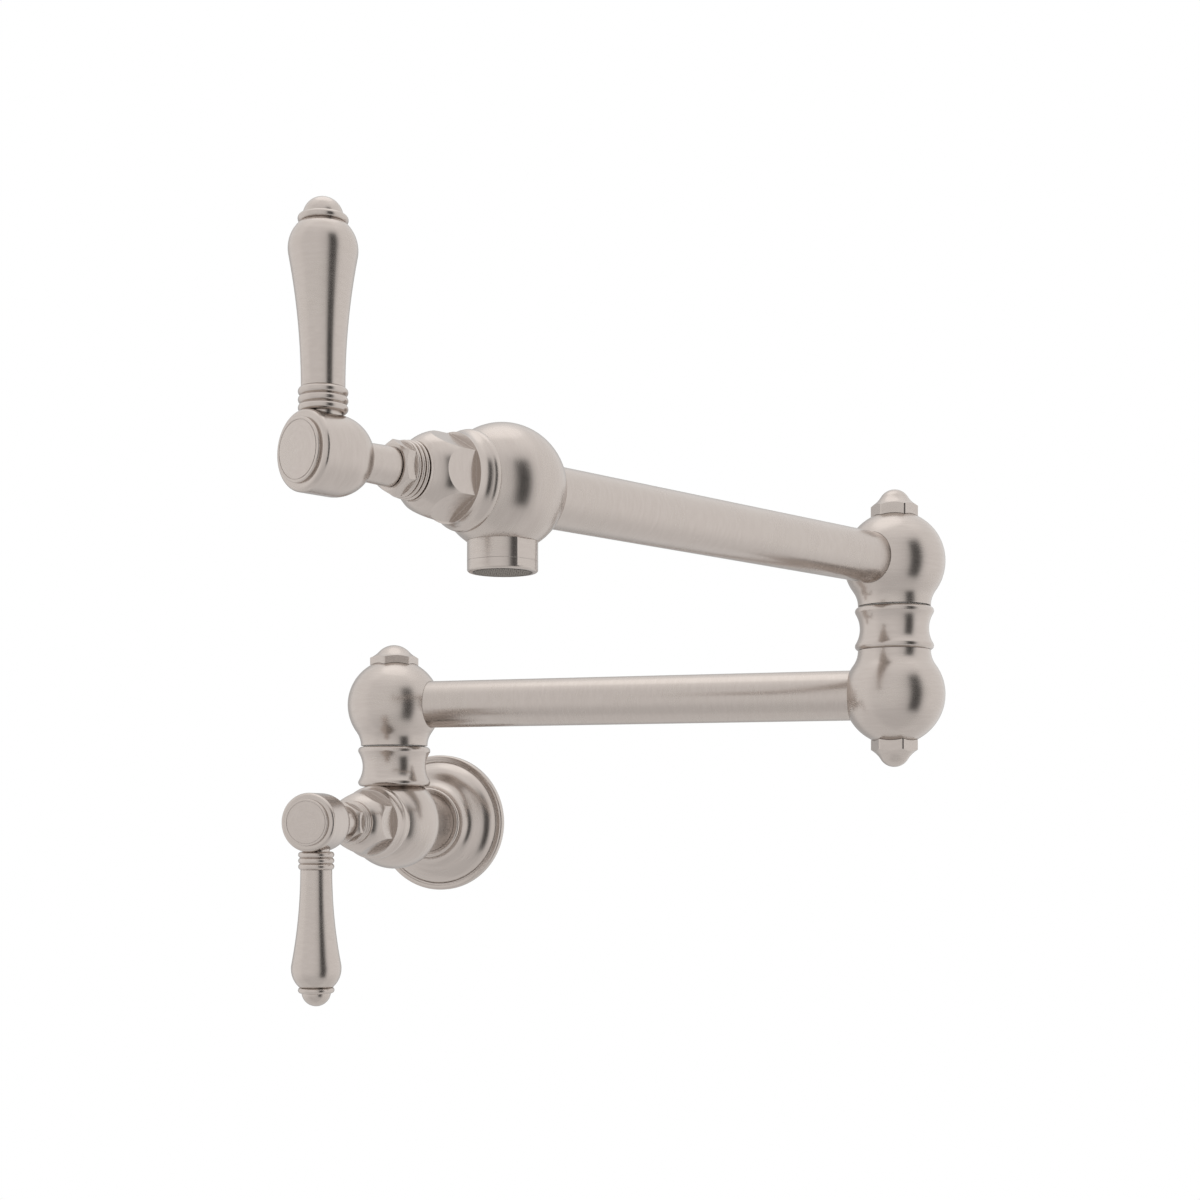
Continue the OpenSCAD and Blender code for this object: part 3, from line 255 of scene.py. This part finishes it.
def noise(tree, place, scale, detail, fourth=None):
    """Noise at a place, with a fourth coordinate where one is given."""
    node = tree.nodes.new("ShaderNodeTexNoise")
    feed(tree, node.inputs["Vector"], place)
    if fourth is not None:
        node.noise_dimensions = "4D"
        feed(tree, node.inputs["W"], fourth)
    node.inputs["Scale"].default_value = scale
    node.inputs["Detail"].default_value = detail
    return node.outputs["Fac"]


def bump(tree, height, strength, distance, normal=None):
    """Normal of a slight relief, laid on another normal where one is given."""
    node = tree.nodes.new("ShaderNodeBump")
    node.inputs["Strength"].default_value = strength
    node.inputs["Distance"].default_value = distance
    feed(tree, node.inputs["Height"], height)
    if normal is not None:
        feed(tree, node.inputs["Normal"], normal)
    return node.outputs["Normal"]


def white(tree, kind):
    """White shader node of one kind."""
    node = tree.nodes.new(kind)
    node.inputs["Color"].default_value = (1, 1, 1, 1)
    return node


def choose(tree, factor, a, b):
    """Shader a where the factor is 0, b where it is 1."""
    node = tree.nodes.new("ShaderNodeMixShader")
    feed(tree, node.inputs["Fac"], factor)
    feed(tree, node.inputs[1], a)
    feed(tree, node.inputs[2], b)
    return node.outputs["Shader"]


def surface(tree, kind, shader):
    """Output node of one kind, with its surface."""
    feed(tree, tree.nodes.new(kind).inputs["Surface"], shader)


def principled(tree, colour, roughness, metallic, normal):
    """The usual surface of a material."""
    shader = tree.nodes.new("ShaderNodeBsdfPrincipled")
    shader.inputs["Metallic"].default_value = metallic
    feed(tree, shader.inputs["Base Color"], colour)
    feed(tree, shader.inputs["Roughness"], roughness)
    feed(tree, shader.inputs["Normal"], normal)
    surface(tree, "ShaderNodeOutputMaterial", shader.outputs["BSDF"])


# Materials

def ring_noise(tree, place, centre, axis, ridges, turns, detail):
    """Noise drawn out into rings round an axis, as a lathe or a polishing belt leaves it."""
    side = axis.orthogonal().normalized()
    other = axis.cross(side)
    from_centre = vector(tree, "SUBTRACT", place, centre)
    along = vector(tree, "DOT_PRODUCT", from_centre, axis)
    outward = vector(tree, "SUBTRACT", from_centre, vector(tree, "SCALE", tuple(axis), along))
    distance = vector(tree, "LENGTH", outward)
    spoke = vector(tree, "NORMALIZE", outward)
    round_side = calc(tree, "MULTIPLY", vector(tree, "DOT_PRODUCT", spoke, side), turns)
    round_other = calc(tree, "MULTIPLY", vector(tree, "DOT_PRODUCT", spoke, other), turns)
    join = tree.nodes.new("ShaderNodeCombineXYZ")
    feed(tree, join.inputs["X"], calc(tree, "MULTIPLY", along, ridges))
    feed(tree, join.inputs["Y"], calc(tree, "MULTIPLY", distance, ridges))
    feed(tree, join.inputs["Z"], round_side)
    return noise(tree, join.outputs["Vector"], scale=1.0, detail=detail, fourth=round_other)


def turned_nickel(name, centre, axis):
    """Satin nickel with fine grain in rings round an axis, a slow cloudiness and painted edge
    highlights.
    """
    mat = bpy.data.materials.new(name)
    tree = new_tree(mat)
    place = tree.nodes.new("ShaderNodeTexCoord").outputs["Object"]
    fine = ring_noise(tree, place, centre, axis, FINE_RIDGES, FINE_TURNS, FINE_DETAIL)
    broad = ring_noise(tree, place, centre, axis, BROAD_RIDGES, BROAD_TURNS, BROAD_DETAIL)
    cloud = noise(tree, place, CLOUDS, CLOUD_DETAIL)

    rounded = tree.nodes.new("ShaderNodeBevel")
    rounded.samples = EDGE_SAMPLES
    rounded.inputs["Radius"].default_value = EDGE_RADIUS
    eased_normal = rounded.outputs["Normal"]
    true_normal = tree.nodes.new("ShaderNodeNewGeometry").outputs["Normal"]
    turn = vector(tree, "DOT_PRODUCT", eased_normal, true_normal)
    # Painted highlight: edges, where the eased normal turns from the true one, get a lighter colour
    edge_highlight = remap(tree, turn, HIGHLIGHT_STARTS, HIGHLIGHT_FULL)

    broad_part = calc(tree, "MULTIPLY", remap(tree, broad, *BROAD_RANGE), BROAD_SHARE)
    grain = calc(tree, "ADD", broad_part, calc(tree, "MULTIPLY", fine, 1 - BROAD_SHARE))
    colour = blend(tree, grain, NICKEL_GRAIN, NICKEL)
    colour = blend(tree, calc(tree, "MULTIPLY", edge_highlight, HIGHLIGHT_SHARE), colour, NICKEL_HIGHLIGHT)
    worn = remap(tree, cloud, *NOISE_RANGE, NICKEL_ROUGHNESS - CLOUD_ROUGHNESS,
                 NICKEL_ROUGHNESS + CLOUD_ROUGHNESS)
    ridged = remap(tree, fine, *NOISE_RANGE, -GRAIN_ROUGHNESS, GRAIN_ROUGHNESS)
    roughness = calc(tree, "ADD", worn, ridged)
    normal = bump(tree, fine, GRAIN_BUMP, GRAIN_DEPTH, eased_normal)
    principled(tree, colour, roughness, metallic=1.0, normal=normal)
    return mat


def mottled(name, colour, roughness, metallic=0.0):
    """Material of one colour with a fine mottle in its tone, roughness and relief."""
    mat = bpy.data.materials.new(name)
    tree = new_tree(mat)
    place = tree.nodes.new("ShaderNodeTexCoord").outputs["Object"]
    mottle = noise(tree, place, MOTTLE_GRAINS, MOTTLE_DETAIL)
    tone = blend(tree, mottle, [c * (1 - MOTTLE_CONTRAST) for c in colour], colour)
    worn = remap(tree, mottle, 0.0, 1.0, roughness - MOTTLE_ROUGHNESS, roughness + MOTTLE_ROUGHNESS)
    principled(tree, tone, worn, metallic, bump(tree, mottle, MOTTLE_BUMP, MOTTLE_DEPTH))
    return mat


# Nickel pieces by the axis that they were turned on
turned = [
    ("nickel_wall_axis", ORIGIN, OUT_OF_WALL,
     ("wall_flange", "inlet_shank", "wall_valve_body", "wall_bonnet", "wall_packing_nut",
      "wall_stem_sleeve", "wall_handle_hub", "wall_hub_cap")),
    ("nickel_column", middle("wall_spool"), UPRIGHT,
     ("wall_spool", "lower_inner_ball", "column_cap_nut")),
    ("nickel_lower_arm", middle("lower_arm_tube"), LOWER_ARM, ("lower_arm_tube",)),
    ("nickel_elbow", middle("elbow_spool"), UPRIGHT,
     ("lower_outer_ball", "elbow_cap_nut", "elbow_spool", "knuckle_ball", "knuckle_cap_nut")),
    ("nickel_upper_arm", middle("upper_arm_tube"), UPPER_ARM,
     ("upper_arm_tube", "spout_body", "spout_bonnet", "spout_packing_nut", "spout_stem_sleeve",
      "spout_handle_hub", "spout_hub_cap")),
    ("nickel_nozzle", middle("aerator_housing"), UPRIGHT, ("spout_nozzle", "aerator_housing")),
    ("nickel_wall_lever", middle("wall_lever_grip"), UPRIGHT,
     ("wall_lever_ferrule", "wall_lever_grip", "wall_lever_finial")),
    ("nickel_spout_lever", middle("spout_lever_grip"), UPRIGHT,
     ("spout_lever_ferrule", "spout_lever_grip", "spout_lever_finial")),
]
finish = {}
for name, centre, axis, pieces in turned:
    mat = turned_nickel(name, centre, axis)
    finish.update({piece: mat for piece in pieces})

# Inner pieces by the slot that the record gives them
by_slot = {
    "brass": mottled("brass_bare", (0.60, 0.40, 0.14), 0.35, metallic=1.0),
    "rubber": mottled("rubber_black", (0.02, 0.02, 0.02), 0.7),
    "ptfe": mottled("polymer_white", (0.80, 0.79, 0.76), 0.5),
    "ceramic": mottled("ceramic_white", (0.85, 0.84, 0.80), 0.25),
    "steel": mottled("steel_bright", (0.55, 0.56, 0.58), 0.3, metallic=1.0),
    "plastic": mottled("insert_grey", (0.16, 0.15, 0.14), 0.55),
}
slots = {part["node"]: part["material_slot"] for part in frame["record"]["subparts"]}
for name, node in nodes.items():
    node.data.materials.clear()
    node.data.materials.append(finish.get(name) or by_slot[slots[name]])


# Mesh helpers

def mesh_piece(name, build, material, smooth=True):
    """New mesh object from a function that fills a bmesh."""
    mesh = bpy.data.meshes.new(name)
    shape = bmesh.new()
    build(shape)
    bmesh.ops.recalc_face_normals(shape, faces=shape.faces)
    shape.to_mesh(mesh)
    shape.free()
    for face in mesh.polygons:
        face.use_smooth = smooth
    if smooth:
        mesh.set_sharp_from_angle(angle=CREASE)
    mesh.materials.append(material)
    piece = bpy.data.objects.new(name, mesh)
    bpy.context.scene.collection.objects.link(piece)
    return piece


def bridge(shape, ring, following):
    """Band of faces from one closed ring of points to the following one."""
    for k in range(len(ring)):
        shape.faces.new((ring[k], ring[k - 1], following[k - 1], following[k]))


def sweep(shape, points, across, radius):
    """Round wire along points; across is a direction square to the path."""
    rings = []
    for i, point in enumerate(points):
        ahead = (points[min(i + 1, len(points) - 1)] - points[max(i - 1, 0)]).normalized()
        up = ahead.cross(across).normalized()
        rings.append([
            shape.verts.new(point + radius * (math.cos(angle) * across + math.sin(angle) * up))
            for angle in (math.tau * k / WIRE_SIDES for k in range(WIRE_SIDES))
        ])
    for ring, following in zip(rings, rings[1:]):
        bridge(shape, ring, following)
    shape.faces.new(rings[0])
    shape.faces.new(reversed(rings[-1]))


def lathe(shape, centre, profile):
    """Closed ring turned round the upright axis through centre from (radius, height) points."""
    rings = []
    for k in range(RING_STEPS):
        angle = math.tau * k / RING_STEPS
        rings.append([
            shape.verts.new(centre + Vector((r * math.cos(angle), r * math.sin(angle), height)))
            for r, height in profile
        ])
    for k in range(RING_STEPS):
        bridge(shape, rings[k], rings[k - 1])


# Aerator screen: woven wires in a ring, in the recess under the insert

insert_low, insert_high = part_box("aerator_insert")
insert_r = (insert_high[0] - insert_low[0]) / 2
screen_at = middle("aerator_insert")
screen_at.z = insert_low[2] - SCREEN_DROP
wires_each_way = int((insert_r - RING_WIDTH) / WIRE_PITCH)


def weave(shape):
    """Wires both ways, each over one and under the next, whose ends are held in the ring."""
    for way in (0, 1):
        along = Vector((1 - way, way, 0.0))
        across = Vector((way, way - 1, 0.0))
        for i in range(-wires_each_way, wires_each_way + 1):
            half = math.sqrt((insert_r - RING_WIDTH / 2) ** 2 - (i * WIRE_PITCH) ** 2)
            count = max(2, round(2 * half / WIRE_PITCH * WIRE_STEPS))
            points = []
            for k in range(count + 1):
                reach = -half + 2 * half * k / count
                wave = math.cos(math.pi * (reach / WIRE_PITCH + i + way))
                flat = screen_at + reach * along + i * WIRE_PITCH * across
                points.append(flat + WIRE * wave * UPRIGHT)
            sweep(shape, points, across, WIRE)


def screen_ring(shape):
    """Ring that holds the wires' ends, with its inner lower corner cut off."""
    height = 2 * WIRE
    lathe(shape, screen_at, [
        (insert_r, -height), (insert_r, height), (insert_r - RING_WIDTH, height),
        (insert_r - RING_WIDTH, -height / 2), (insert_r - RING_WIDTH / 2, -height)
    ])


screen_wire = mottled("screen_wire", (0.34, 0.31, 0.28), 0.45, metallic=1.0)
# The ring is coloured near black: painted shade for the shadowed gap round the screen's edge
ring_painted_shade = mottled("screen_ring_painted_shade", (0.16, 0.14, 0.13), 0.5, metallic=1.0)
upper_arm_body = "upper_arm"
for piece in (
    mesh_piece("aerator_screen", weave, screen_wire),
    mesh_piece("aerator_screen_ring", screen_ring, ring_painted_shade, smooth=False),
):
    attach(piece, upper_arm_body)


# Inlet shank as packed, with its thread cut into the bore

shank_low, shank_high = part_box("inlet_shank")
shank_len = shank_high[1] - shank_low[1]
shank_r = (shank_high[2] - shank_low[2]) / 2
inlet = next(m for m in frame["record"]["mounts"] if m["name"] == "inlet")
inlet_r = inlet["dims"]["r_mm"] / 1000
inlet_depth = inlet["dims"]["length_mm"] / 1000


def threaded_shank(shape):
    """Columns of points round the shank's axis, joined into its skin.

    A column has a point at each crest and root of the thread, from a turn before the inlet's
    mouth to a turn past its end, and all of them lie deeper by one pitch after a full round.
    A point past either end of the inlet is held there, as deep as the thread is cut there.
    """
    turns = math.ceil(inlet_depth / THREAD_PITCH) + 2
    tail_at = shank_len - SHANK_TAIL_LEN
    columns = []
    for k in range(SHANK_STEPS + 1):
        lead = k / SHANK_STEPS
        section = []
        for i in range(2 * turns + 1):
            depth = (i / 2 - 1 + lead) * THREAD_PITCH
            held = min(max(depth, 0.0), inlet_depth)
            if held == depth:
                cut = i % 2
            else:
                cut = 1 - abs(2 * ((held / THREAD_PITCH - lead) % 1.0) - 1)
            section.append((inlet_r + THREAD_CUT * cut, held))
        section += [
            (SHANK_BORE_R, inlet_depth), (SHANK_BORE_R, shank_len), (SHANK_TAIL_R, shank_len),
            (SHANK_TAIL_R, tail_at), (shank_r, tail_at), (shank_r, 0.0)
        ]
        angle = math.tau * lead
        columns.append([
            shape.verts.new((r * math.cos(angle), shank_high[1] - depth, r * math.sin(angle)))
            for r, depth in section
        ])
    for column, following in zip(columns, columns[1:]):
        bridge(shape, column, following)
    bmesh.ops.remove_doubles(shape, verts=shape.verts, dist=MERGED)
    bmesh.ops.dissolve_degenerate(shape, edges=shape.edges, dist=MERGED)


shank = mesh_piece("inlet_shank_threaded", threaded_shank, finish["inlet_shank"])
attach(shank, "wall_valve")
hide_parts("inlet_shank")


# World: white to the camera, a soft studio to everything else

def ramp(tree, angle, low, high, to_low=0.0, to_high=1.0):
    """Smooth change between two angles."""
    return remap(tree, angle, math.radians(low), math.radians(high), to_low, to_high, smooth=True)


def between(tree, angle, low_out, low_in, high_in, high_out):
    """1 between the inner angles, falling to 0 at the outer ones."""
    rise = ramp(tree, angle, low_out, low_in)
    fall = ramp(tree, angle, high_out, high_in)
    return calc(tree, "MULTIPLY", rise, fall)


def past_patch(tree, bearing, bearings, height, heights, depth):
    """Share of the light that a dark patch leaves."""
    wide = between(tree, bearing, *bearings)
    tall = between(tree, height, *heights)
    taken = calc(tree, "MULTIPLY", calc(tree, "MULTIPLY", wide, tall), depth)
    return calc(tree, "SUBTRACT", 1.0, taken)


def studio_light(tree):
    """Strength of the studio's light by direction."""
    turn = tree.nodes.new("ShaderNodeMapping")
    feed(tree, turn.inputs["Vector"], tree.nodes.new("ShaderNodeTexCoord").outputs["Generated"])
    # The studio's +x points at the camera's side of the object, its +y to the camera's right
    turn.inputs["Rotation"].default_value = (0, 0, QUARTER - CAMERA_TURN)
    split = tree.nodes.new("ShaderNodeSeparateXYZ")
    feed(tree, split.inputs["Vector"], turn.outputs["Vector"])
    bearing = calc(tree, "ARCTAN2", split.outputs["Y"], split.outputs["X"])
    height = calc(tree, "ARCSINE", split.outputs["Z"])

    # Dimmer underfoot, brighter overhead and at the sides
    floor_side = ramp(tree, height, *UNDERFOOT_HEIGHTS, UNDERFOOT_LEVEL, EYE_LEVEL)
    ceiling = ramp(tree, height, *CEILING_HEIGHTS, 0.0, CEILING_GAIN)
    sides = ramp(tree, calc(tree, "ABSOLUTE", bearing), *SIDES_BEARINGS, 0.0, SIDES_GAIN)
    level = calc(tree, "ADD", calc(tree, "ADD", floor_side, ceiling), sides)

    # Darker in the surround and the panel, and duller on the far side, which draws the tap's
    # outlines against the white
    surround = past_patch(tree, bearing, SURROUND_BEARINGS, height, SURROUND_HEIGHTS,
                          SURROUND_DEPTH)
    panel = past_patch(tree, bearing, PANEL_BEARINGS, height, PANEL_HEIGHTS, PANEL_DEPTH)
    toward_far = vector(tree, "DOT_PRODUCT", turn.outputs["Vector"], FAR_SIDE)
    far = remap(tree, toward_far, FAR_STARTS, FAR_FULL, 1.0, FAR_SHARE, smooth=True)
    shade = calc(tree, "MULTIPLY", calc(tree, "MULTIPLY", surround, panel), far)
    return calc(tree, "MULTIPLY", level, shade)


world = bpy.data.worlds.new("studio")
bpy.context.scene.world = world
tree = new_tree(world)
to_camera = tree.nodes.new("ShaderNodeLightPath").outputs["Is Camera Ray"]
seen = white(tree, "ShaderNodeBackground")
room = white(tree, "ShaderNodeBackground")
feed(tree, room.inputs["Strength"], studio_light(tree))
surface(tree, "ShaderNodeOutputWorld",
        choose(tree, to_camera, room.outputs["Background"], seen.outputs["Background"]))

# Wide soft box overhead, a little behind the tap
lamp = bpy.data.lights.new("soft_box", "AREA")
lamp.shape = "DISK"
lamp.size = SOFT_BOX_SIZE
lamp.energy = SOFT_BOX_ENERGY
soft_box = bpy.data.objects.new("soft_box", lamp)
bpy.context.scene.collection.objects.link(soft_box)
tap_middle = (Vector(cad_box[0]) + Vector(cad_box[1])) / 2
soft_box.location = tap_middle + SOFT_BOX_OFFSET
soft_box.rotation_euler = (tap_middle - soft_box.location).to_track_quat("-Z", "Y").to_euler()


# Pale floor far below the tap

def floor_white():
    """White to the camera but for the tap's soft shadow, and clear to reflections, which show
    the studio's own lower half."""
    mat = bpy.data.materials.new("floor_white")
    tree = new_tree(mat)
    path = tree.nodes.new("ShaderNodeLightPath").outputs
    matte = white(tree, "ShaderNodeBsdfDiffuse").outputs["BSDF"]
    glow = white(tree, "ShaderNodeEmission").outputs["Emission"]
    clear = tree.nodes.new("ShaderNodeBsdfTransparent").outputs["BSDF"]
    lit = choose(tree, calc(tree, "MULTIPLY", path["Is Camera Ray"], FLOOR_GLOW), matte, glow)
    surface(tree, "ShaderNodeOutputMaterial", choose(tree, path["Is Glossy Ray"], lit, clear))
    return mat


floor_at = (tap_middle.x, tap_middle.y, FLOOR_HEIGHT)
bpy.ops.mesh.primitive_plane_add(size=FLOOR_SIZE, location=floor_at)
floor = bpy.context.object
floor.name = "floor"
floor.data.materials.append(floor_white())

# Camera
camera = bpy.data.cameras.new("camera")
camera.sensor_width = CAMERA_SENSOR
camera.lens = CAMERA_LENS
camera.shift_y = CAMERA_SHIFT_Y
camera_object = bpy.data.objects.new("camera", camera)
bpy.context.scene.collection.objects.link(camera_object)
camera_object.location = CAMERA_AT
camera_object.rotation_euler = (QUARTER, 0.0, CAMERA_TURN)
bpy.context.scene.camera = camera_object
bpy.context.scene.view_settings.view_transform = "Standard"
